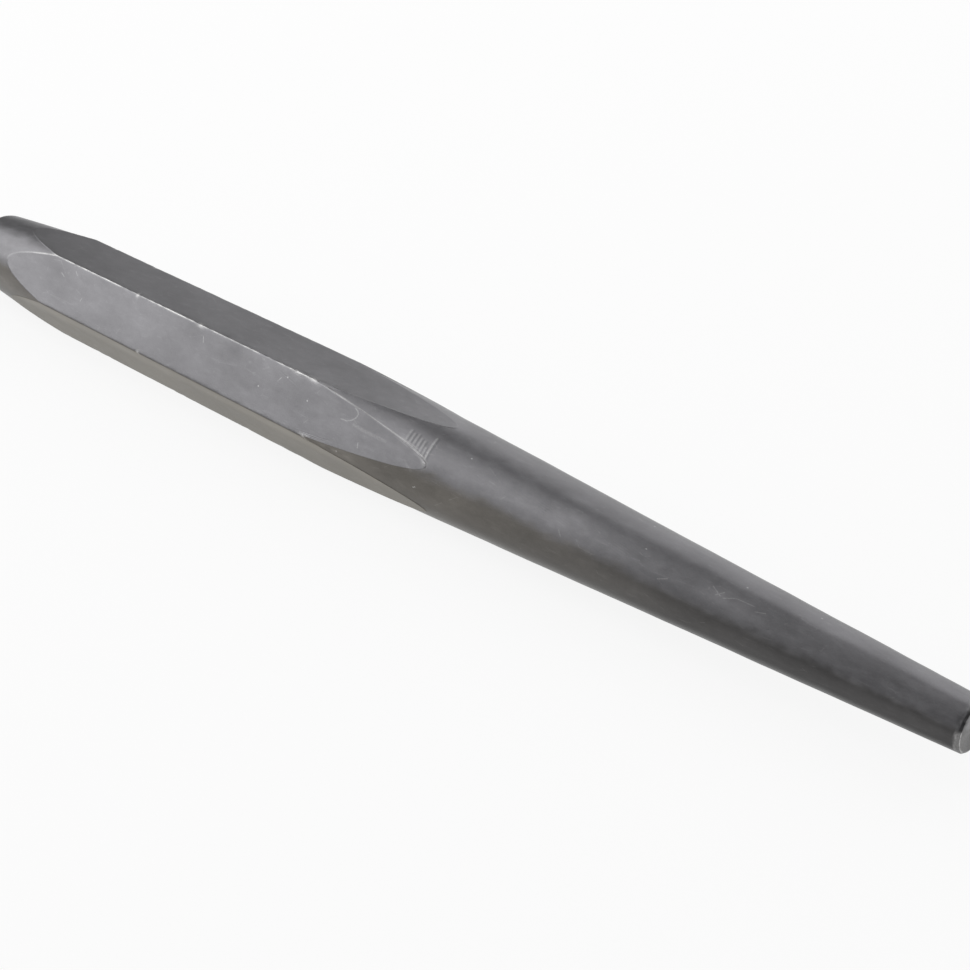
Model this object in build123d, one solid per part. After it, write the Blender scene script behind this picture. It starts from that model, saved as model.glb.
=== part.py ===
from build123d import *
import math
import os

# Drift punch, one solid piece of hexagonal tool steel turned down at both ends.
# Millimetres. +X runs along the tool from the struck head to the working tip, +Z is up.
# The tool lies on one flat of its hexagon, with the origin under its middle.

# Driving dimensions of the bar
across_flats = 15.875
corner_radius = 0.3

# Driving dimensions along the tool
head_length = 25.4
grip_length = 67.5
taper_length = 117.3

# Driving dimensions of the two turned ends
head_diameter = 13.46
head_edge_radius = 2.4
tip_diameter = 7.8
tip_chamfer = 0.3

# Sizes that follow from them
overall_length = head_length + grip_length + taper_length
across_corners = across_flats / math.cos(math.radians(30))
axis_height = across_flats / 2
head_end = -overall_length / 2
head_shoulder = head_end + head_length
grip_end = head_shoulder + grip_length
tip_end = overall_length / 2

# Depth by which each end's turned cone is carried past the corners of the bar
turning_overrun = 0.4


def hexagonal_bar():
    """The stock: a hexagon with a flat at the bottom and a flat on top, its corners slightly rounded."""
    section = Plane.YZ * RegularPolygon(across_flats / 2, 6, major_radius=False)
    rounded = fillet(section.vertices(), corner_radius)
    return Pos(head_end, 0, 0) * extrude(rounded, overall_length, dir=(1, 0, 0))


def turned_envelope():
    """The solid of revolution that the lathe and grinder leave: a blunt head cone and a long slow taper."""
    corner = across_corners / 2
    head_slope = (corner - head_diameter / 2) / head_length
    tip_slope = (corner - tip_diameter / 2) / taper_length
    clear = corner + turning_overrun
    outline = Polyline(
        (head_end, 0),
        (head_end, head_diameter / 2),
        (head_shoulder + turning_overrun / head_slope, clear),
        (grip_end - turning_overrun / tip_slope, clear),
        (tip_end, tip_diameter / 2),
        (tip_end, 0),
        close=True,
    )
    turned = revolve(make_face(outline), Axis.X)
    rims = turned.edges().filter_by(GeomType.CIRCLE).sort_by(Axis.X)
    turned = fillet(rims[0], head_edge_radius)
    rims = turned.edges().filter_by(GeomType.CIRCLE).sort_by(Axis.X)
    return chamfer(rims[-1], tip_chamfer)


def drift_punch():
    """Each flat of the bar runs out into the cones in two long hyperbolic arcs, one at each end."""
    return Pos(0, 0, axis_height) * (hexagonal_bar() & turned_envelope())


os.makedirs("parts", exist_ok=True)
export_step(drift_punch(), "parts/drift_punch.step")
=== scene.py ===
import math

import bpy
import numpy as np
from mathutils import Matrix, Vector, noise


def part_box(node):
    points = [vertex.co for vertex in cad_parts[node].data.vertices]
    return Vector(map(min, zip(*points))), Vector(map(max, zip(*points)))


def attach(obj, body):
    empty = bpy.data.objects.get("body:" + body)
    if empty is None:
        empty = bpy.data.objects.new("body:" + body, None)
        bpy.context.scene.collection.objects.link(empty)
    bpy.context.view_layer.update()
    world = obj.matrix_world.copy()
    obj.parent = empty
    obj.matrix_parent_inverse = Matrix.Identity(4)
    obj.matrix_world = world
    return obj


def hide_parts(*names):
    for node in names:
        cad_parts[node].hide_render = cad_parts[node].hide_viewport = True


# A drift punch lying on one flat of its hexagon, struck head on the left, working tip on the right.

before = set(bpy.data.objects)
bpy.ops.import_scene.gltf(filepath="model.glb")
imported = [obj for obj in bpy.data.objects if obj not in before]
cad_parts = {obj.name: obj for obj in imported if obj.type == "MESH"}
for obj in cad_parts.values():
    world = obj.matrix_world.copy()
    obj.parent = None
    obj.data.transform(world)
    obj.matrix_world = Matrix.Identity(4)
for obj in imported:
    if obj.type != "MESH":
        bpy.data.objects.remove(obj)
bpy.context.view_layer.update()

NODE = "drift_punch"
MM = 0.001

# Sizes taken from the frame
low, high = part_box(NODE)
head_end = low.x
tip_end = high.x
across_flats = high.z - low.z
apothem = across_flats / 2
sixth = math.radians(60)
corner_reach = apothem / math.cos(sixth / 2)

# Sizes of the bar and of its two turned ends
corner_round = 0.3 * MM
head_length = 25.4 * MM
taper_length = 117.3 * MM
head_radius = 6.73 * MM
head_edge_radius = 2.4 * MM
tip_radius = 3.9 * MM
tip_chamfer = 0.3 * MM

# Places, radii and slopes that follow from them
head_shoulder = head_end + head_length
grip_end = tip_end - taper_length
head_slope = (corner_reach - head_radius) / head_length
tip_slope = (corner_reach - tip_radius) / taper_length
head_tilt = math.atan(head_slope)
edge_centre_x = head_end + head_edge_radius
edge_centre_r = head_radius + head_slope * head_edge_radius - head_edge_radius / math.cos(head_tilt)
tip_face_radius = tip_radius - tip_chamfer

# The photograph's frame and the camera that took it
CAMERA_PLACE = Vector((185.54, -180.74, 155.65)) * MM
CAMERA_HEADING = 42.34
CAMERA_TILT = 31.10
CAMERA_ROLL = 0.99
CAMERA_LENS = 69.8
CAMERA_SENSOR = 36.0

# Rows of the mesh on each stretch of the tool, from the striking face to the tip's face
FACE_ROWS = 8
EDGE_ROWS = 12
HEAD_ROWS = 46
FLAT_ROWS = 270
TAPER_ROWS = 226
CHAMFER_ROWS = 3
TIP_FACE_ROWS = 9

# Radius of the innermost ring on the tip's face, as a share of that face
INNER_RING = 0.1

# Columns across half a flat: even ones, and crowded ones in the band beside the corner, in mm from its edge
EVEN_COLUMNS = 10
CROWDED_BAND = 0.55
CROWDED_COLUMNS = (0.32, 0.14, 0.0)

# Round the axis, places are angles in degrees seen from the tip: +Y is 0, the top is 90, -Y is 180.
# The corners of the bar stand at 0, 60, 120 and so on.
# Along the axis, places are millimetres from the middle.
FRONT_TOP_CORNER = 120
FRONT_LOW_CORNER = 180
FRONT_FLAT = 150

# Smooth random patches in four sizes: size in mm, stretch along the tool, seed
LARGE_PATCHES = (5.5, 2.0, 1)
MEDIUM_PATCHES = (2.4, 1.8, 2)
SMALL_PATCHES = (0.9, 1.5, 3)
BROKEN_PATCHES = (1.3, 4.0, 4)
SEED_STEP = 17.3

# How bright each corner is rubbed: angle and level
corner_rub = [
    (0, 0.5),
    (30, 0.5),
    (60, 0.6),
    (90, 0.6),
    (120, 1.0),
    (150, 0.1),
    (180, 0.08),
    (210, 0.1),
    (240, 0.35),
    (300, 0.45),
    (360, 0.5),
]

# How bright the arcs are rubbed, most on their upper front parts: angle and level
arc_rub = [
    (0, 0.3),
    (60, 0.3),
    (90, 0.1),
    (118, 0.1),
    (122, 0.95),
    (146, 0.8),
    (156, 0.12),
    (180, 0.05),
    (210, 0.1),
    (240, 0.3),
    (300, 0.35),
    (360, 0.3),
]

# Depths in mm of the waves in the turned cones and of the fine unevenness, and the flats' share of the waves
LARGE_WAVES = 0.06
MEDIUM_WAVES = 0.028
FINE_WAVES = 0.002
FLAT_SHARE = 0.1

# Widths in mm of the broken edge of a corner, of the rubbed lines, and of the dark line beside the low corner
BROKEN_WIDTH = 0.3
CORNER_RUB_WIDTH = 0.12
ARC_RUB_WIDTH = 0.13
LOW_DARK_WIDTH = 0.17

# The rubbed rims, in mm: the head's rim, and two bright lines and a band back from the tip's face
HEAD_RIM_WIDTH = 1.6
HEAD_RIM_REACH = 1.5
FACE_LINE_WIDTH = 0.13
FACE_LINE_REACH = 0.05
SECOND_LINE = 0.62
SECOND_LINE_WIDTH = 0.15
RIM_BAND = (0.55, 0.35)

# Where rubbing and chips begin and are full across the tip's face, as shares of the tip's radius
RIM_RUB_SHARES = (0.84, 0.94)
CHIP_SHARES = (0.78, 0.93)

# Bands round the tool: angles where each begins, is full, begins to fade and ends
CHIPPED_RIM = (112, 120, 158, 168)
# The shank's front and top, the lower flat and the underside are bands of painted shade and painted
# reflection.
SHANK_FRONT = (108, 120, 160, 180)
SHANK_TOP = (40, 70, 93, 103)
LOWER_FLAT = (179, 181, 239, 241)
UNDERSIDE = (188, 204, 300, 330)

# Angles over which the shank's lower side, painted dark as shade, begins and ends, the upper edge of the
# lower flat, painted light as reflection, fades, and the arc at the head goes dull
LOWER_SIDE_BEGINS = (151, 166)
LOWER_SIDE_ENDS = (300, 330)
LOWER_LIGHT_FADES = (188, 200)
HEAD_ARC_DULLS = (131, 137)

# Places along over which painted shade darkens the shank: towards the tip, on its front, and on its top until
# that fades
TIP_DARKENS = (15, 87)
FRONT_DARKENS = (45, 60)
TOP_DARKENS = (12, 20)
TOP_FADES = (48, 60)

# Nicks in the corners: place along, angle, length along, depth
corner_nicks = [
    (-56.5, 120, 0.35, 0.08),
    (-39.8, 120, 0.6, 0.07),
    (-16.0, 120, 0.45, 0.10),
    (-12.2, 120, 0.8, 0.08),
    (-52.0, 180, 0.35, 0.08),
    (-10.3, 179, 0.4, 0.10),
]
NICK_WIDTH = 0.4

# Chips in the front of the tip's rim: angle, length along, width, share of the full depth
rim_chips = [
    (141, 0.55, 0.45, 1.0),
    (129, 0.4, 0.5, 0.6),
    (152, 0.3, 0.4, 0.5),
]
CHIP_DEPTH = 0.32

# Share of the depth that wear takes along the tool at the tip
TIP_SHARE = 0.4

# Seeded marks on every side: how many, and their least and greatest places along, sizes and depths in mm
STRAY_SEED = 7
STRAY_DENTS = 90
DENT_PLACES = (-100, 100)
DENT_RADII = (0.3, 0.75)
DENT_DEPTHS = (0.006, 0.02)
DENT_STRETCH = 1.4
STRAY_NICKS = 30
STRAY_NICK_PLACES = (-90, 12)
STRAY_NICK_LENGTHS = (0.3, 0.9)
STRAY_NICK_DEPTHS = (0.015, 0.05)
STRAY_NICK_WIDTH = 0.3

# Small bright specks, each in a shallow pit: place along and angle
specks = [
    (-52.0, 179.3),
    (-22.8, 152.8),
    (-17.4, 129.2),
    (-11.8, 143.0),
    (-10.3, 178.4),
    (-2.9, 179.1),
    (13.3, 179.4),
    (13.6, 178.2),
    (21.4, 119.0),
    (54.2, 120.7),
    (52.1, 77.1),
    (70.1, 102.1),
    (81.1, 84.9),
]
SPECK_LENGTH = 0.08
SPECK_WIDTH = 0.15
PIT_DEPTH = 0.03
PIT_SIZE = 0.4

# Chatter left by the turning tool where the front flat runs out: place along, first angle, last angle
chatter = [
    (9.45, 121, 136),
    (10.3, 123, 137),
    (11.1, 122, 137),
    (11.95, 125, 139),
    (12.75, 126, 140.5),
    (13.45, 132, 143),
    (14.2, 117, 148),
]
CHATTER_WIDTH = 0.3
CHATTER_GAP = 0.42

# Bright rubs at the foot of that chatter: place along and angle
chatter_rubs = [
    (9.4, 135.6),
    (10.8, 136.6),
    (13.0, 141.2),
    (14.4, 147.6),
]
RUB_LENGTH = 0.5
RUB_WIDTH = 0.3

# Scratches on the front flat: corners of the line, each as place along and offset towards the lower corner
hook_scratch = [
    (-3.9, -0.8),
    (-2.6, -0.9),
    (-1.7, -1.35),
    (-1.05, -2.0),
    (-0.9, -2.6),
    (-1.2, -3.05),
    (-1.9, -3.3),
]
HOOK_WIDTH = 0.15
flat_smear = [(-1.1, -0.9), (1.0, -0.7), (3.4, -0.7), (6.0, -0.7)]
SMEAR_WIDTH = 0.38
flat_scratches = [
    ((-69.6, 0.4), (-69.8, 1.0)),
    ((-73.3, -3.4), (-72.6, -2.9)),
    ((-76.8, -2.1), (-75.9, -1.7)),
    ((-18.6, -2.5), (-19.1, -1.8)),
    ((1.0, 1.4), (1.2, 2.2)),
    ((-38.2, -3.0), (-37.8, -2.1)),
]
FLAT_SCRATCH_WIDTH = 0.13

# Fine scratches in a cluster on the shank: start and end, each as place along and angle
shank_scratches = [
    ((66.0, 125.0), (67.6, 133.0)),
    ((66.9, 134.5), (67.9, 126.0)),
    ((68.2, 134.0), (69.6, 127.0)),
    ((69.8, 126.0), (72.6, 124.5)),
    ((73.2, 131.0), (74.6, 126.5)),
    ((58.0, 150.0), (59.4, 144.0)),
    ((40.5, 149.0), (41.1, 155.0)),
]
SHANK_SCRATCH_WIDTH = 0.14

# Broad soft clouds on the front flat: place along, offset, length, width, change of tone
flat_clouds = [
    (-60.5, -0.4, 8.0, 3.0, 0.07),
    (-40.6, -2.8, 2.2, 1.6, -0.12),
    (-30.5, -2.6, 2.4, 1.4, -0.13),
    (-39.5, -4.1, 0.8, 0.5, -0.15),
    (5.0, 1.4, 4.0, 1.5, 0.04),
]

# Soft clouds on the two cones: place along, angle, length, width, change of tone
cone_clouds = [
    (-93.0, 111.0, 6.0, 1.6, 0.35),
    (-92.0, 80.0, 9.0, 2.2, 0.25),
    (-94.0, 137.0, 4.0, 1.6, -0.15),
    (-92.0, 186.0, 4.0, 1.8, 0.22),
    (-2.5, 180.0, 4.5, 1.0, 0.4),
    (31.0, 134.0, 6.0, 1.8, 0.07),
    (42.0, 130.0, 3.2, 1.6, 0.15),
    (37.0, 130.0, 1.0, 1.8, -0.10),
    (51.5, 142.0, 5.5, 2.4, -0.14),
    (69.0, 134.0, 4.0, 1.4, 0.16),
]

# Colours of the plain oxide, of a warmer colour low down that is painted reflection of the warm floor, and of
# steel that is rubbed bare
OXIDE = (0.160, 0.158, 0.165, 1)
WARM_REFLECTION = (0.180, 0.162, 0.130, 1)
BARE_STEEL = (0.56, 0.555, 0.55, 1)

# Noise patterns of the oxide: scale of the places, patterns per mm, detail, roughness.
# The scuffs have no scale, because they follow the slanting places.
CLOUDS = ((0.5, 1, 1), 0.17, 3, 0.55)
MOTTLE = ((0.6, 1, 1), 0.8, 4, 0.6)
GRAIN = ((1, 1, 1), 5.0, 3, 0.65)
GROUND = ((0.12, 1, 1), 3.5, 2, 0.5)
LATHE = ((1, 0.08, 0.08), 2.2, 2, 0.5)
SCUFF = (0.7, 3, 0.55)

# Turn in degrees and scale of the slanting places that scuffs and hairlines follow
SLANT = 35
SLANT_SCALE = (0.45, 1.5, 1.0)

# Soft lamps round the tool: name, heading, rise, width, height, radiance, distance
softboxes = [
    ("left", 204, 27, 0.6, 0.58, 2.2, 0.7),
    ("left_high", 206, 58, 0.46, 0.16, 1.05, 0.7),
    ("left_front", 241, 22, 0.22, 0.5, 1.15, 0.7),
    ("back_left", 139, 25, 0.26, 0.3, 0.65, 0.7),
    ("back", 98, 27, 0.8, 0.6, 1.15, 0.7),
    ("back_high", 110, 60, 0.45, 0.3, 1.2, 0.7),
    ("overhead", 230, 80, 0.4, 0.2, 0.8, 0.75),
    ("right", 330, 40, 0.4, 0.4, 0.6, 0.7),
]
WORLD_LEVEL = 0.3
FLOOR_HALF = 3.0
FLOOR_COLOUR = (0.9, 0.9, 0.9, 1)

# Share of plain white in the floor that the camera and the steel see
SEEN_WHITE = 0.88


def make_camera():
    """The camera stands in front of the tip's side and looks down and back at the tool."""
    data = bpy.data.cameras.new("camera")
    data.lens = CAMERA_LENS
    data.sensor_width = CAMERA_SENSOR
    data.clip_start = 0.01
    data.clip_end = 50
    camera = bpy.data.objects.new("camera", data)
    bpy.context.scene.collection.objects.link(camera)
    heading = Matrix.Rotation(math.radians(CAMERA_HEADING), 4, "Z")
    tilt = Matrix.Rotation(math.radians(90 - CAMERA_TILT), 4, "X")
    roll = Matrix.Rotation(math.radians(CAMERA_ROLL), 4, "Z")
    camera.matrix_world = Matrix.Translation(CAMERA_PLACE) @ heading @ tilt @ roll
    bpy.context.scene.camera = camera


# The shape of the tool before wear

def column_angles():
    """Angles round the axis. Each sixth is crowded at its worn corner and even across its flat."""
    flat_half = (apothem - corner_round) * math.tan(sixth / 2)
    even = np.linspace(0, flat_half - CROWDED_BAND * MM, EVEN_COLUMNS)
    crowded = flat_half - np.array(CROWDED_COLUMNS) * MM
    across = np.concatenate([even, crowded])
    on_flat = np.arctan2(across, apothem)
    in_corner = on_flat[-1] + (sixth / 2 - on_flat[-1]) * 0.5
    half = np.append(on_flat, in_corner)
    one = np.concatenate([-half[:0:-1], half, [sixth / 2]])
    turns = np.radians(30) + sixth * np.arange(6)
    return (turns[:, None] + one[None, :]).ravel()


def from_flat(theta):
    """Angle from the middle of the nearest flat."""
    return theta % sixth - sixth / 2


def bar_radius(theta):
    """Reach of the hexagonal bar with rounded corners, at an angle round the axis."""
    phi = np.abs(from_flat(theta))
    flat = apothem / np.cos(phi)
    centre = (apothem - corner_round) / math.cos(sixth / 2)
    beside = sixth / 2 - phi
    inside = np.maximum(corner_round**2 - (centre * np.sin(beside)) ** 2, 0)
    rounded = centre * np.cos(beside) + np.sqrt(inside)
    tangent = (apothem - corner_round) * math.tan(sixth / 2)
    return np.where(apothem * np.tan(phi) <= tangent, flat, rounded)


def head_cone(x):
    """Radius of the head's cone at a place along."""
    return head_radius + head_slope * (x - head_end)


def tip_cone(x):
    """Radius of the long taper at a place along."""
    return tip_radius + tip_slope * (tip_end - x)


def share(count, start_crowd=0.0, end_crowd=0.0):
    """Even shares from 0 to 1, drawn towards either end by up to 1."""
    u = np.arange(1, count + 1) / count
    return u - (start_crowd * np.sin(np.pi * u) * (1 - u) + end_crowd * -np.sin(np.pi * u) * u) / np.pi


def surface_grid(theta):
    """Places along and radii of every row and column. Rows follow the arcs where flats meet cones."""
    reach = bar_radius(theta)
    flat_start = head_shoulder - (corner_reach - reach) / head_slope
    flat_stop = grip_end + (corner_reach - reach) / tip_slope
    ones = np.ones_like(theta)
    xs = []
    rs = []
    for u in share(FACE_ROWS):
        xs.append(head_end * ones)
        rs.append(edge_centre_r * u * ones)
    for u in share(EDGE_ROWS):
        turn = u * (math.pi / 2 - head_tilt)
        xs.append((edge_centre_x - head_edge_radius * math.cos(turn)) * ones)
        rs.append((edge_centre_r + head_edge_radius * math.sin(turn)) * ones)
    cone_start = edge_centre_x - head_edge_radius * math.sin(head_tilt)
    for u in share(HEAD_ROWS, end_crowd=0.5):
        x = cone_start + u * (flat_start - cone_start)
        xs.append(x)
        rs.append(head_cone(x))
    for u in share(FLAT_ROWS, start_crowd=0.2, end_crowd=0.6):
        xs.append(flat_start + u * (flat_stop - flat_start))
        rs.append(reach)
    taper_stop = tip_end - tip_chamfer
    for u in share(TAPER_ROWS, start_crowd=0.6, end_crowd=0.5):
        x = flat_stop + u * (taper_stop - flat_stop)
        xs.append(x)
        rs.append(tip_cone(x))
    rim = tip_radius + tip_slope * tip_chamfer
    for u in share(CHAMFER_ROWS):
        xs.append((taper_stop + u * tip_chamfer) * ones)
        rs.append((rim + u * (tip_face_radius - rim)) * ones)
    for u in share(TIP_FACE_ROWS, start_crowd=0.9):
        xs.append(tip_end * ones)
        rs.append(tip_face_radius * (1 - u * (1 - INNER_RING)) * ones)
    return np.array(xs), np.array(rs)


# Wear, tone and painted shade and reflection, worked out as fields over the grid of the surface

def rise(value, start, end):
    """A smooth step from 0 at the start to 1 at the end."""
    t = np.clip((value - start) / (end - start), 0, 1)
    return t * t * (3 - 2 * t)


def band(value, start, full, fade, end):
    """1 between two values, with a smooth step up before them and a smooth step down after them."""
    return rise(value, start, full) * (1 - rise(value, fade, end))


def bell(gap, width):
    """A soft line of height 1, from the distance to its middle in metres and its width in mm."""
    return np.exp(-((gap / (width * MM)) ** 2))


def gap_to_arc(theta, step, slope):
    """Distance over the surface to the arc where a flat meets a cone, from their step in radius."""
    return np.abs(step) / np.hypot(slope, np.tan(from_flat(theta)))


def flat_angle(offset):
    """Angle in degrees of a place on the front flat, from its offset in mm towards the lower corner."""
    return FRONT_FLAT + math.degrees(math.atan(offset * MM / apothem))


class Surface:
    """The unworn surface as grids of places, and the fields that its wear is worked out from."""

    def __init__(self, x, r, theta):
        self.x = x
        self.r = r
        self.theta = theta
        self.degrees = np.degrees(theta) % 360

        # 1 on the bar's flats and corners, or on what was turned
        flat = bar_radius(theta)
        self.on_bar = np.where((flat < head_cone(x)) & (flat < tip_cone(x)), 1.0, 0.0)
        self.turned = 1 - self.on_bar

        # The two end faces
        hair = 0.001 * MM
        self.head_face = x < head_end + hair
        self.tip_face = x > tip_end - hair

        # Distances from the nearest corner and from the nearest arc, which is far away along the middle
        far_away = 1000 * MM
        self.corner_gap = r * (sixth / 2 - np.abs(from_flat(theta)))
        at_head = gap_to_arc(theta, flat - head_cone(x), head_slope)
        at_tip = gap_to_arc(theta, flat - tip_cone(x), tip_slope)
        at_head = np.where(x < head_shoulder + 3 * MM, at_head, far_away)
        at_tip = np.where(x > grip_end - 5 * MM, at_tip, far_away)
        self.arc_gap = np.minimum(at_tip, at_head)

        # Random patches
        self.large = self.patches(*LARGE_PATCHES)
        self.medium = self.patches(*MEDIUM_PATCHES)
        self.small = self.patches(*SMALL_PATCHES)
        self.broken = self.patches(*BROKEN_PATCHES)

    def patches(self, size, stretch, seed):
        """Smooth random patches of about -1 to 1, of a size in mm, drawn out along the tool."""
        y = self.r * np.cos(self.theta)
        z = self.r * np.sin(self.theta)
        points = np.stack([self.x / stretch, y, z], -1).reshape(-1, 3) / (size * MM) + seed * SEED_STEP
        return np.array([noise.noise(Vector(p)) for p in points.tolist()]).reshape(self.x.shape)

    def turn_from(self, degrees):
        """Signed angle from a place round the axis, in radians."""
        return (self.theta - math.radians(degrees) + math.pi) % (2 * math.pi) - math.pi

    def spot(self, along, degrees, length, width):
        """A soft round or oval spot of height 1, its sizes in mm."""
        dx = (self.x - along * MM) / (length * MM)
        dy = self.r * self.turn_from(degrees) / (width * MM)
        return np.exp(-(dx * dx) - dy * dy)

    def rise_along(self, start, end):
        """A smooth step from 0 to 1 between two places along."""
        return rise(self.x, start * MM, end * MM)

    def level(self, levels):
        """A level round the tool, from a list of angles and levels."""
        angles, values = zip(*levels)
        return np.interp(self.degrees, angles, values)

    def chipped(self):
        """1 along the chipped front of the tip's rim."""
        return band(self.degrees, *CHIPPED_RIM)

    def rise_out(self, start, end):
        """A smooth step from 0 to 1 between two shares of the tip's radius."""
        return rise(self.r, start * tip_radius, end * tip_radius)

    def tip_rim(self):
        """1 at the tip's rim, on its side and on its face."""
        begins, full = RIM_BAND
        beside = rise(self.x, tip_end - begins * MM, tip_end - full * MM)
        return beside * self.rise_out(*RIM_RUB_SHARES)


def uneven_depth(s):
    """Depth in mm of slight unevenness: a tenth as much on the flats as on the cones, and broken corners."""
    waves = LARGE_WAVES * (1 + s.large) + MEDIUM_WAVES * (1 + s.medium)
    fine = FINE_WAVES * (1 + s.small)
    corner = bell(s.corner_gap, BROKEN_WIDTH) * s.on_bar
    breaks = 0.01 + 0.045 * np.maximum(s.broken, 0) + 0.03 * np.maximum(s.small, 0)
    return waves * (FLAT_SHARE + (1 - FLAT_SHARE) * s.turned) + fine + corner * breaks


def rubbed_corners(s):
    """Bright broken lines along the corners."""
    line = bell(s.corner_gap, CORNER_RUB_WIDTH) * s.on_bar
    return line * s.level(corner_rub) * (0.5 + 0.8 * s.broken + 0.7 * s.small)


def arc_level(s):
    """How bright the arcs are rubbed. The lower part of the head's arc is duller."""
    lower_head = 0.75 * rise(s.degrees, *HEAD_ARC_DULLS) * (s.x < head_shoulder)
    return s.level(arc_rub) * (1 - lower_head)


def rubbed_arcs(s):
    """Bright broken lines along the arcs."""
    line = bell(s.arc_gap, ARC_RUB_WIDTH)
    return line * arc_level(s) * (0.45 + 0.7 * s.broken + 0.7 * s.small)


def add_seen_marks(s, depth, worn):
    """The nicks, specks and rubs that were seen on the tool."""
    for along, angle, length, deep in corner_nicks:
        nick = s.spot(along, angle, length, NICK_WIDTH)
        depth += deep * nick
        np.maximum(worn, 0.8 * nick, out=worn)
    for along, angle in specks:
        depth += PIT_DEPTH * s.spot(along, angle, PIT_SIZE, PIT_SIZE)
    for along, angle in chatter_rubs:
        np.maximum(worn, 0.5 * s.spot(along, angle, RUB_LENGTH, RUB_WIDTH), out=worn)


def add_stray_marks(s, depth, worn):
    """Seeded small dents on every side, and nicks in the corners. The nicks seen from the front stay dull."""
    generator = np.random.default_rng(STRAY_SEED)
    for _ in range(STRAY_DENTS):
        along = generator.uniform(*DENT_PLACES)
        angle = generator.uniform(0, 360)
        radius = generator.uniform(*DENT_RADII)
        deep = generator.uniform(*DENT_DEPTHS)
        depth += deep * s.spot(along, angle, radius * DENT_STRETCH, radius)
    for _ in range(STRAY_NICKS):
        along = generator.uniform(*STRAY_NICK_PLACES)
        angle = 60 * generator.integers(0, 6)
        length = generator.uniform(*STRAY_NICK_LENGTHS)
        deep = generator.uniform(*STRAY_NICK_DEPTHS)
        nick = s.spot(along, angle, length, STRAY_NICK_WIDTH)
        depth += deep * nick
        if angle not in (FRONT_TOP_CORNER, FRONT_LOW_CORNER):
            np.maximum(worn, 0.7 * nick, out=worn)


def rubbed_head(s):
    """The striking face is peened, and its rim is rubbed."""
    rim = bell(s.r - edge_centre_r, HEAD_RIM_WIDTH) * (s.x < head_end + HEAD_RIM_REACH * MM)
    return np.maximum(0.4 * rim * (0.7 + 0.6 * s.medium), s.head_face * (0.25 + 0.3 * s.medium))


def rubbed_tip(s):
    """The tip's face is rubbed, and its rim has two bright lines that stop at the chips."""
    first = bell(s.r - tip_face_radius, FACE_LINE_WIDTH) * (s.x > tip_end - FACE_LINE_REACH * MM)
    second = 0.6 * bell(tip_end - s.x - SECOND_LINE * MM, SECOND_LINE_WIDTH)
    lines = np.maximum(first, second) * (0.75 + 0.9 * s.small)
    worn = lines * (1 - 0.9 * s.chipped())
    worn = np.maximum(worn, 0.25 * s.tip_rim() * (1 - s.chipped()))
    return np.maximum(worn, s.tip_face * (0.16 + 0.12 * s.medium))


def dark_lines_and_chips(s):
    """Darker beside the lower front corner, beside dull arcs and in the chipped rim of the tip."""
    low_gap = s.r * s.turn_from(FRONT_LOW_CORNER)
    low_line = bell(low_gap, LOW_DARK_WIDTH) * s.on_bar
    arcs = bell(s.arc_gap, ARC_RUB_WIDTH) * (1 - arc_level(s))
    dark = 0.65 * low_line * (0.8 + 0.6 * s.broken)
    dark = np.maximum(dark, 0.2 * arcs * (0.8 + s.small))
    return np.maximum(dark, s.tip_rim() * s.chipped() * (0.9 + 0.4 * s.small))


def tone_shade_and_warmth(s):
    """Tone of the oxide, about 1, with painted shade and painted reflection in it, and how warm it is. The
    lower parts are darker and warmer: the shank's lower side, its front and its top are painted darker as
    shade, the upper edge of the lower flat is painted lighter and the lower parts warmer as reflection of the
    floor, and the underside is painted darker as the shadowed floor reflected in it.
    """
    # Masks of painted shade and painted reflection: the shank's lower side with a ragged edge, the lower
    # flat, and the shank's front and top.
    toward_tip = s.rise_along(*TIP_DARKENS)
    ragged = s.degrees - 3 * toward_tip - 5 * s.medium - 4 * s.small
    under = rise(ragged, *LOWER_SIDE_BEGINS) * (1 - rise(s.degrees, *LOWER_SIDE_ENDS))
    lower_flat = band(s.degrees, *LOWER_FLAT) * s.on_bar
    shank_front = band(s.degrees, *SHANK_FRONT) * s.rise_along(*FRONT_DARKENS)
    shank_top = band(s.degrees, *SHANK_TOP) * s.rise_along(*TOP_DARKENS)

    # Painted shade: the shank's lower side is darker, more so towards the tip, in place of the dark
    # reflection there.
    tone_and_shade = 1 - s.turned * under * (0.22 + 0.31 * toward_tip)
    # Painted shade: the front of the shank is darker towards the tip.
    tone_and_shade -= 0.13 * s.turned * shank_front
    # Painted shade: the top of the shank is darker, dimming the reflection of the lamp behind.
    tone_and_shade -= s.turned * shank_top * (0.16 - 0.1 * s.rise_along(*TOP_FADES))
    # Painted reflection: the upper edge of the lower flat is lighter, in place of the bright floor mirrored
    # there.
    tone_and_shade += 0.1 * lower_flat * (1 - rise(s.degrees, *LOWER_LIGHT_FADES))
    # Painted shade: the underside is darker, in place of the shadowed floor mirrored there.
    tone_and_shade -= 0.17 * band(s.degrees, *UNDERSIDE)
    for along, offset, length, width, change in flat_clouds:
        tone_and_shade += change * s.spot(along, flat_angle(offset), length, width)
    uneven = s.turned * (1 + 0.6 * s.medium + 0.9 * s.small)
    for along, angle, length, width, change in cone_clouds:
        tone_and_shade += change * uneven * s.spot(along, angle, length, width)
    # Painted reflection: the lower flat and the shank's lower side are warmer, in place of the warm floor
    # mirrored there.
    warm = np.maximum(0.9 * lower_flat, 0.55 * under * s.turned * (1 - 0.7 * toward_tip))
    return tone_and_shade, warm


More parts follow.
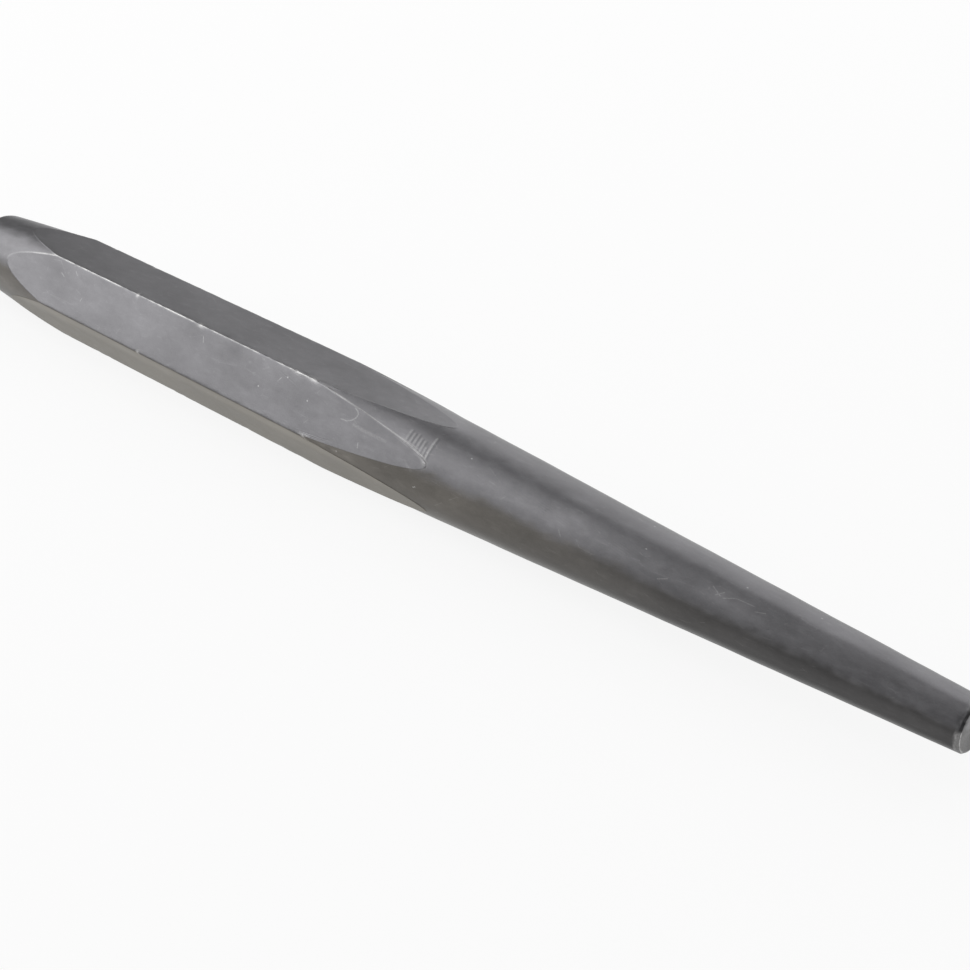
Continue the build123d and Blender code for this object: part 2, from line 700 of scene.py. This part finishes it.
def make_wear_and_shade(s):
    """Depth of wear in metres, and the maps of bright wear, darkening, tone with painted shade and painted
    reflection, and warmth that is painted reflection, for the material.
    """
    depth = uneven_depth(s)
    worn = np.maximum(rubbed_corners(s), rubbed_arcs(s))
    add_seen_marks(s, depth, worn)
    add_stray_marks(s, depth, worn)
    worn = np.maximum(worn, np.maximum(rubbed_head(s), rubbed_tip(s)))
    tone_and_shade, warm = tone_shade_and_warmth(s)
    maps = {
        "worn": np.clip(worn, 0, 1),
        "dark": np.clip(dark_lines_and_chips(s), 0, 1),
        "tone_and_shade": tone_and_shade,
        "warm": np.clip(warm, 0, 1),
        "turned": s.turned,
        "around": s.theta,
    }
    return depth * MM, maps


def worn_places(s, depth):
    """Places after wear. Depth only goes into the steel: radially, or along the axis on the end faces."""
    side = ~(s.head_face | s.tip_face)
    chip = sum(part * s.spot(tip_end / MM, angle, length, width) for angle, length, width, part in rim_chips)
    cut = CHIP_DEPTH * MM * chip * s.rise_out(*CHIP_SHARES)
    radius = s.r - np.where(side, depth, 0) - cut
    along = s.x + np.where(s.head_face, depth, 0) - TIP_SHARE * (np.where(s.tip_face, depth, 0) + cut)
    return np.stack([along, radius * np.cos(s.theta), radius * np.sin(s.theta) + apothem], -1)


def ring_faces(rows, columns):
    """Faces between the rings of points, and a fan to a middle point at each end."""
    first = np.arange(rows * columns).reshape(rows, columns)
    after = np.roll(first, -1, axis=1)
    quads = np.stack([first[:-1], first[1:], after[1:], after[:-1]], -1).reshape(-1, 4)
    head_middle = rows * columns
    tip_middle = head_middle + 1
    fans = [(head_middle, a, b) for a, b in zip(first[0].tolist(), after[0].tolist())]
    fans += [(tip_middle, b, a) for a, b in zip(first[-1].tolist(), after[-1].tolist())]
    return quads.tolist() + fans


def make_punch():
    """The whole tool as one closed mesh of rings, closed by a fan at each end."""
    columns = column_angles()
    x, r = surface_grid(columns)
    surface = Surface(x, r, np.broadcast_to(columns, x.shape))
    depth, maps = make_wear_and_shade(surface)
    places = worn_places(surface, depth)
    middles = [[places[row, :, 0].mean(), 0, apothem] for row in (0, -1)]
    points = np.concatenate([places.reshape(-1, 3), middles])
    mesh = bpy.data.meshes.new("drift_punch_surface")
    mesh.from_pydata(points.tolist(), [], ring_faces(*x.shape))
    for name, values in maps.items():
        ends = [values[0].mean(), values[-1].mean()]
        attribute = mesh.attributes.new(name, "FLOAT", "POINT")
        attribute.data.foreach_set("value", np.concatenate([values.ravel(), ends]).astype(np.float32))
    mesh.shade_smooth()
    punch = bpy.data.objects.new("drift_punch_surface", mesh)
    bpy.context.scene.collection.objects.link(punch)
    return punch


# Materials

class Nodes:
    """Short calls for the nodes of one material."""

    def __init__(self, material):
        material.use_nodes = True
        self.tree = material.node_tree
        self.shader = self.tree.nodes["Principled BSDF"]

    def link(self, source, target):
        self.tree.links.new(source, target)

    def feed(self, socket, value):
        if isinstance(value, bpy.types.NodeSocket):
            self.link(value, socket)
        else:
            socket.default_value = value

    def attribute(self, name):
        node = self.tree.nodes.new("ShaderNodeAttribute")
        node.attribute_name = name
        return node.outputs["Fac"]

    def math(self, operation, a, b=0.0, clamp=False):
        node = self.tree.nodes.new("ShaderNodeMath")
        node.operation = operation
        node.use_clamp = clamp
        self.feed(node.inputs[0], a)
        self.feed(node.inputs[1], b)
        return node.outputs[0]

    def times(self, *factors):
        total = factors[0]
        for factor in factors[1:]:
            total = self.math("MULTIPLY", total, factor)
        return total

    def remap(self, value, from_low, from_high, to_low, to_high):
        node = self.tree.nodes.new("ShaderNodeMapRange")
        self.feed(node.inputs["Value"], value)
        node.inputs["From Min"].default_value = from_low
        node.inputs["From Max"].default_value = from_high
        node.inputs["To Min"].default_value = to_low
        node.inputs["To Max"].default_value = to_high
        return node.outputs["Result"]

    def mix(self, share_socket, a, b):
        node = self.tree.nodes.new("ShaderNodeMix")
        node.data_type = "RGBA"
        self.feed(node.inputs["Factor"], share_socket)
        self.feed(node.inputs["A"], a)
        self.feed(node.inputs["B"], b)
        return node.outputs["Result"]

    def vector(self, operation, a, b, output=0):
        node = self.tree.nodes.new("ShaderNodeVectorMath")
        node.operation = operation
        self.feed(node.inputs[0], a)
        self.feed(node.inputs[1], b)
        return node.outputs[output]

    def scaled(self, vector, value):
        node = self.tree.nodes.new("ShaderNodeVectorMath")
        node.operation = "SCALE"
        self.feed(node.inputs[0], vector)
        self.feed(node.inputs["Scale"], value)
        return node.outputs[0]

    def unrolled(self):
        """Places on the tool laid out flat in mm: along the axis, and round it at the radius of the flats."""
        coordinates = self.tree.nodes.new("ShaderNodeTexCoord")
        parts = self.tree.nodes.new("ShaderNodeSeparateXYZ")
        self.link(coordinates.outputs["Object"], parts.inputs["Vector"])
        join = self.tree.nodes.new("ShaderNodeCombineXYZ")
        self.link(self.math("MULTIPLY", parts.outputs["X"], 1 / MM), join.inputs["X"])
        self.link(self.math("MULTIPLY", self.attribute("around"), apothem / MM), join.inputs["Y"])
        return join.outputs["Vector"]

    def slanting(self, unrolled):
        """Unrolled places turned and scaled, so that what follows them slants across the tool."""
        mapping = self.tree.nodes.new("ShaderNodeMapping")
        mapping.inputs["Rotation"].default_value = (0, 0, math.radians(SLANT))
        mapping.inputs["Scale"].default_value = SLANT_SCALE
        self.link(unrolled, mapping.inputs["Vector"])
        return mapping.outputs["Vector"]

    def places(self, scale=(1, 1, 1)):
        """Places on the tool in mm, scaled along each axis."""
        coordinates = self.tree.nodes.new("ShaderNodeTexCoord")
        mapping = self.tree.nodes.new("ShaderNodeMapping")
        mapping.inputs["Scale"].default_value = tuple(value / MM for value in scale)
        self.link(coordinates.outputs["Object"], mapping.inputs["Vector"])
        return mapping.outputs["Vector"]

    def noise(self, vector, per_mm, detail, roughness):
        node = self.tree.nodes.new("ShaderNodeTexNoise")
        node.inputs["Scale"].default_value = per_mm
        node.inputs["Detail"].default_value = detail
        node.inputs["Roughness"].default_value = roughness
        self.link(vector, node.inputs["Vector"])
        return node.outputs["Fac"]

    def pattern(self, scale, per_mm, detail, roughness):
        return self.noise(self.places(scale), per_mm, detail, roughness)

    def cells(self, vector, per_mm, feature="F1"):
        """Distance from the middles of random cells, or from their edges."""
        node = self.tree.nodes.new("ShaderNodeTexVoronoi")
        node.feature = feature
        node.inputs["Scale"].default_value = per_mm
        self.link(vector, node.inputs["Vector"])
        return node.outputs["Distance"]

    def mark(self, place, start, end, width):
        """1 along a fine straight line between two unrolled places, soft across its width in mm."""
        line = Vector(end) - Vector(start)
        offset = self.vector("SUBTRACT", place, start)
        along = self.vector("DOT_PRODUCT", offset, tuple(line / line.length_squared), "Value")
        nearest = self.scaled(tuple(line), self.math("MULTIPLY", along, 1.0, clamp=True))
        gap = self.vector("DISTANCE", offset, nearest, "Value")
        return self.remap(gap, 0.3 * width, width, 1.0, 0.0)

    def marks(self, place, lines):
        """The strongest of several marks, each given as its start, its end and its width."""
        total = self.mark(place, *lines[0])
        for line in lines[1:]:
            total = self.math("MAXIMUM", total, self.mark(place, *line))
        return total


def unroll(along, degrees):
    """An unrolled place in mm from a place along and an angle."""
    return (along, math.radians(degrees) * apothem / MM, 0.0)


def on_flat(along, offset):
    """An unrolled place on the front flat."""
    return unroll(along, flat_angle(offset))


def chain(corners, width):
    """The marks along a line of several corners on the front flat."""
    ends = [on_flat(*corner) for corner in corners]
    return [(a, b, width) for a, b in zip(ends[:-1], ends[1:])]


def rings(shift):
    """The marks of the chatter, each shifted along the tool by some mm."""
    return [(unroll(x + shift, a), unroll(x + shift, b), CHATTER_WIDTH) for x, a, b in chatter]


def hairlines(n, slanting, scuff):
    """Short stray scratches on every side: the edges of a slanting cell pattern, kept only in patches."""
    edges = n.cells(slanting, 0.22, "DISTANCE_TO_EDGE")
    line = n.remap(edges, 0.004, 0.012, 1.0, 0.0)
    return n.times(line, n.remap(scuff, 0.52, 0.6, 0.0, 1.0))


def bright_lines(n, unrolled, slanting, grain, scuff):
    """Fine lines where the steel shines through: the marks that were seen, and hairlines on every side."""
    specked = [(unroll(x, angle), unroll(x + SPECK_LENGTH, angle), SPECK_WIDTH) for x, angle in specks]
    short = [(on_flat(*a), on_flat(*b), FLAT_SCRATCH_WIDTH) for a, b in flat_scratches]
    shank = [(unroll(*a), unroll(*b), SHANK_SCRATCH_WIDTH) for a, b in shank_scratches]
    bars = rings(0)
    breaks = n.remap(grain, 0.35, 0.6, 0.3, 1.0)
    strengths = [
        (n.marks(unrolled, chain(flat_smear, SMEAR_WIDTH)), 0.12),
        (n.marks(unrolled, chain(hook_scratch, HOOK_WIDTH) + short), 0.26),
        (n.marks(unrolled, shank), 0.2),
        (n.marks(unrolled, bars), 0.17),
        (n.marks(unrolled, bars[-1:]), 0.3),
        (hairlines(n, slanting, scuff), 0.09),
    ]
    total = n.times(n.marks(unrolled, specked), 0.5)
    for mark, strength in strengths:
        total = n.math("MAXIMUM", total, n.times(mark, breaks, strength))
    return total


def oxide_level(n, unrolled, mottle, grain, scuff, dark):
    """How light the oxide is: clouds, mottle, grain, tone with its painted shade and painted reflection, and
    scuffs, darker along the dark lines and chips and by chatter.
    """
    clouds = n.remap(n.pattern(*CLOUDS), 0.25, 0.75, 0.87, 1.13)
    mottled = n.remap(mottle, 0.25, 0.75, 0.9, 1.1)
    grained = n.remap(grain, 0.2, 0.8, 0.93, 1.07)
    scuffed = n.remap(scuff, 0.55, 0.72, 1.0, 1.09)
    darkened = n.remap(dark, 0, 1, 1.0, 0.35)
    between_bars = n.remap(n.marks(unrolled, rings(CHATTER_GAP)), 0, 1, 1.0, 0.82)
    # The tone attribute carries painted shade and painted reflection.
    return n.times(clouds, mottled, grained, n.attribute("tone_and_shade"), scuffed, darkened, between_bars)


def surface_height(n, mottle, grain):
    """Height in mm of the bump: grain, mottle, pits, and streaks round the cones and along the flats."""
    turned = n.attribute("turned")
    along = n.times(n.pattern(*GROUND), n.math("SUBTRACT", 1.0, turned))
    streaks = n.math("ADD", n.times(n.pattern(*LATHE), turned), along)
    pits = n.remap(n.cells(n.places(), 0.9), 0.0, 0.16, -1.0, 0.0)
    height = n.times(grain, 0.006)
    for part, depth in ((mottle, 0.006), (streaks, 0.003), (pits, 0.006)):
        height = n.math("ADD", height, n.times(part, depth))
    return height


def oxide_steel():
    """Dull grey oxide with cloudy tone, painted shade and painted reflection, fine grain and pits, bright
    where it is rubbed through.
    """
    material = bpy.data.materials.new("oxide_steel")
    n = Nodes(material)
    unrolled = n.unrolled()
    slanting = n.slanting(unrolled)
    mottle = n.pattern(*MOTTLE)
    grain = n.pattern(*GRAIN)
    scuff = n.noise(slanting, *SCUFF)
    dark = n.attribute("dark")

    # Painted reflection: the warm colour mixed in low down stands in for the warm floor mirrored there.
    oxide = n.mix(n.attribute("warm"), OXIDE, WARM_REFLECTION)
    oxide = n.scaled(oxide, oxide_level(n, unrolled, mottle, grain, scuff, dark))
    worn_grain = n.remap(grain, 0.32, 0.6, 0.5, 1.15)
    worn = n.math("MULTIPLY", n.attribute("worn"), worn_grain, clamp=True)
    through = n.math("MAXIMUM", worn, bright_lines(n, unrolled, slanting, grain, scuff))
    n.link(n.mix(through, oxide, BARE_STEEL), n.shader.inputs["Base Color"])

    rough = n.remap(mottle, 0.25, 0.75, 0.33, 0.4)
    n.link(n.math("ADD", rough, n.times(dark, 0.12)), n.shader.inputs["Roughness"])
    n.shader.inputs["Metallic"].default_value = 1.0

    bump = n.tree.nodes.new("ShaderNodeBump")
    bump.inputs["Strength"].default_value = 1.0
    bump.inputs["Distance"].default_value = MM
    n.link(surface_height(n, mottle, grain), bump.inputs["Height"])
    n.link(bump.outputs["Normal"], n.shader.inputs["Normal"])
    return material


def pale_floor():
    """White board. The camera and the steel see it partly as plain white, so that it stays pale in shadow."""
    material = bpy.data.materials.new("pale_floor")
    n = Nodes(material)
    n.shader.inputs["Base Color"].default_value = FLOOR_COLOUR
    n.shader.inputs["Roughness"].default_value = 0.9
    n.shader.inputs["Specular IOR Level"].default_value = 0.1
    white = n.tree.nodes.new("ShaderNodeEmission")
    white.inputs["Strength"].default_value = 1.0
    path = n.tree.nodes.new("ShaderNodeLightPath")
    mirrored = n.math("MAXIMUM", path.outputs["Is Glossy Ray"], path.outputs["Is Transmission Ray"])
    seen = n.math("MAXIMUM", path.outputs["Is Camera Ray"], mirrored)
    blend = n.tree.nodes.new("ShaderNodeMixShader")
    n.link(n.times(seen, SEEN_WHITE), blend.inputs[0])
    n.link(n.shader.outputs["BSDF"], blend.inputs[1])
    n.link(white.outputs["Emission"], blend.inputs[2])
    n.link(blend.outputs["Shader"], n.tree.nodes["Material Output"].inputs["Surface"])
    return material


# Studio

def make_floor():
    """A wide level board under the tool."""
    mesh = bpy.data.meshes.new("floor")
    signs = [(-1, -1), (1, -1), (1, 1), (-1, 1)]
    mesh.from_pydata([(a * FLOOR_HALF, b * FLOOR_HALF, 0) for a, b in signs], [], [(0, 1, 2, 3)])
    floor = bpy.data.objects.new("floor", mesh)
    bpy.context.scene.collection.objects.link(floor)
    floor.data.materials.append(pale_floor())


def softbox(name, heading, rise_angle, width, height, radiance, distance):
    """A soft light of an even radiance aimed at the tool. Heading 0 is +X and 90 is +Y, rise is upwards."""
    data = bpy.data.lights.new(name, "AREA")
    data.shape = "RECTANGLE"
    data.size = width
    data.size_y = height
    data.energy = radiance * math.pi * width * height
    light = bpy.data.objects.new(name, data)
    turn = Matrix.Rotation(math.radians(heading), 3, "Z") @ Matrix.Rotation(math.radians(-rise_angle), 3, "Y")
    place = turn @ Vector((distance, 0, 0))
    light.matrix_world = Matrix.Translation(place) @ place.to_track_quat("Z", "Y").to_matrix().to_4x4()
    bpy.context.scene.collection.objects.link(light)
    light.visible_camera = False


def make_world():
    """An even grey light from all round."""
    world = bpy.data.worlds.new("studio")
    world.use_nodes = True
    background = world.node_tree.nodes["Background"]
    background.inputs["Color"].default_value = (WORLD_LEVEL, WORLD_LEVEL, WORLD_LEVEL, 1)
    bpy.context.scene.world = world


make_camera()
make_floor()
make_world()
for box in softboxes:
    softbox(*box)

punch = make_punch()
punch.data.materials.append(oxide_steel())
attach(punch, "root")
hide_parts(NODE)

bpy.context.scene.view_settings.view_transform = "Standard"
